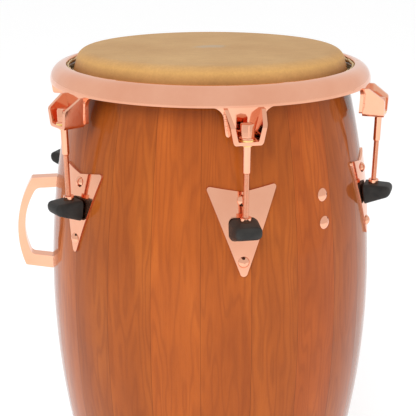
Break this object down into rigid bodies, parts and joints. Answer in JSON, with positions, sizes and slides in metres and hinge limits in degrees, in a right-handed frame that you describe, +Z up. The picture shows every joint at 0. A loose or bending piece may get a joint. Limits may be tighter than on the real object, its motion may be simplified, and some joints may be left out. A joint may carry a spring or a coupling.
{
  "type": "conga drum",
  "caption": "Staved wooden barrel drum with a skin head, a tuneable rounded metal rim on turning bolts, rubber-capped side plates and a side carrying handle.",
  "frame": {"origin": "centre of the open bottom mouth, on the floor plane and on the drum's axis", "axes": "+Z up the drum's axis to the head, -Y to the front lug, -X to the carrying handle"},
  "size_m": [0.4479, 0.453, 0.762],
  "materials": {
    "lacquered_wood": "clear high-gloss lacquer over stained staves",
    "copper_plate": "polished copper-coloured plating",
    "steel_zinc": "bright zinc",
    "brass": "bright",
    "black_rubber": "matt, moulded",
    "skin": "matt hide"
  },
  "bodies": {
    "drum_body": {"staves": "lacquered_wood", "base_ring": "black_rubber", "drum_head": "skin", "handle": "copper_plate", "handle_bolts": "steel_zinc", "handle_washers": "steel_zinc", "side_plate_bolts": "copper_plate", "side_plate_washers": "steel_zinc", "side_plate_nuts": "steel_zinc", "accessory_bolts": "copper_plate", "accessory_washers": "steel_zinc", "accessory_nuts": "steel_zinc", "side_plate_1": "copper_plate", "side_plate_2": "copper_plate", "side_plate_3": "copper_plate", "side_plate_4": "copper_plate", "side_plate_5": "copper_plate", "side_plate_6": "copper_plate", "lug_receiver_1": "copper_plate", "lug_receiver_2": "copper_plate", "lug_receiver_3": "copper_plate", "lug_receiver_4": "copper_plate", "lug_receiver_5": "copper_plate", "lug_receiver_6": "copper_plate", "rubber_foot_1": "black_rubber", "rubber_foot_2": "black_rubber", "rubber_foot_3": "black_rubber", "rubber_foot_4": "black_rubber", "rubber_foot_5": "black_rubber", "rubber_foot_6": "black_rubber"},
    "rim": {"rim": "copper_plate", "flesh_hoop": "steel_zinc", "lug_bracket_1": "copper_plate", "lug_bracket_2": "copper_plate", "lug_bracket_3": "copper_plate", "lug_bracket_4": "copper_plate", "lug_bracket_5": "copper_plate", "lug_bracket_6": "copper_plate", "lug_bush_1": "brass", "lug_bush_2": "brass", "lug_bush_3": "brass", "lug_bush_4": "brass", "lug_bush_5": "brass", "lug_bush_6": "brass"},
    "tuning_bolt_1": {"tuning_bolt_1": "copper_plate"},
    "tuning_bolt_2": {"tuning_bolt_2": "copper_plate"},
    "tuning_bolt_3": {"tuning_bolt_3": "copper_plate"},
    "tuning_bolt_4": {"tuning_bolt_4": "copper_plate"},
    "tuning_bolt_5": {"tuning_bolt_5": "copper_plate"},
    "tuning_bolt_6": {"tuning_bolt_6": "copper_plate"}
  },
  "joints": [
    {"name": "rim_tension", "type": "slide", "parent": "drum_body", "child": "rim", "axis": [0, 0, 1], "range_m": [-0.004, 0.006]},
    {"name": "tuning_bolt_turn_1", "type": "hinge", "parent": "rim", "child": "tuning_bolt_1", "pos_m": [0, -0.205, 0.6989], "axis": [0, 0, 1], "range_deg": [-1133.96, 1700.89]},
    {"name": "tuning_bolt_turn_2", "type": "hinge", "parent": "rim", "child": "tuning_bolt_2", "pos_m": [0.17753, -0.1025, 0.6989], "axis": [0, 0, 1], "range_deg": [-1133.96, 1700.89]},
    {"name": "tuning_bolt_turn_3", "type": "hinge", "parent": "rim", "child": "tuning_bolt_3", "pos_m": [0.17753, 0.1025, 0.6989], "axis": [0, 0, 1], "range_deg": [-1133.96, 1700.89]},
    {"name": "tuning_bolt_turn_4", "type": "hinge", "parent": "rim", "child": "tuning_bolt_4", "pos_m": [0, 0.205, 0.6989], "axis": [0, 0, 1], "range_deg": [-1133.96, 1700.89]},
    {"name": "tuning_bolt_turn_5", "type": "hinge", "parent": "rim", "child": "tuning_bolt_5", "pos_m": [-0.17753, 0.1025, 0.6989], "axis": [0, 0, 1], "range_deg": [-1133.96, 1700.89]},
    {"name": "tuning_bolt_turn_6", "type": "hinge", "parent": "rim", "child": "tuning_bolt_6", "pos_m": [-0.17753, -0.1025, 0.6989], "axis": [0, 0, 1], "range_deg": [-1133.96, 1700.89]}
  ],
  "couplings": [
    {"joint": "tuning_bolt_turn_1", "follows": "rim_tension", "rad_per_m": 4947.4},
    {"joint": "tuning_bolt_turn_2", "follows": "rim_tension", "rad_per_m": 4947.4},
    {"joint": "tuning_bolt_turn_3", "follows": "rim_tension", "rad_per_m": 4947.4},
    {"joint": "tuning_bolt_turn_4", "follows": "rim_tension", "rad_per_m": 4947.4},
    {"joint": "tuning_bolt_turn_5", "follows": "rim_tension", "rad_per_m": 4947.4},
    {"joint": "tuning_bolt_turn_6", "follows": "rim_tension", "rad_per_m": 4947.4}
  ]
}
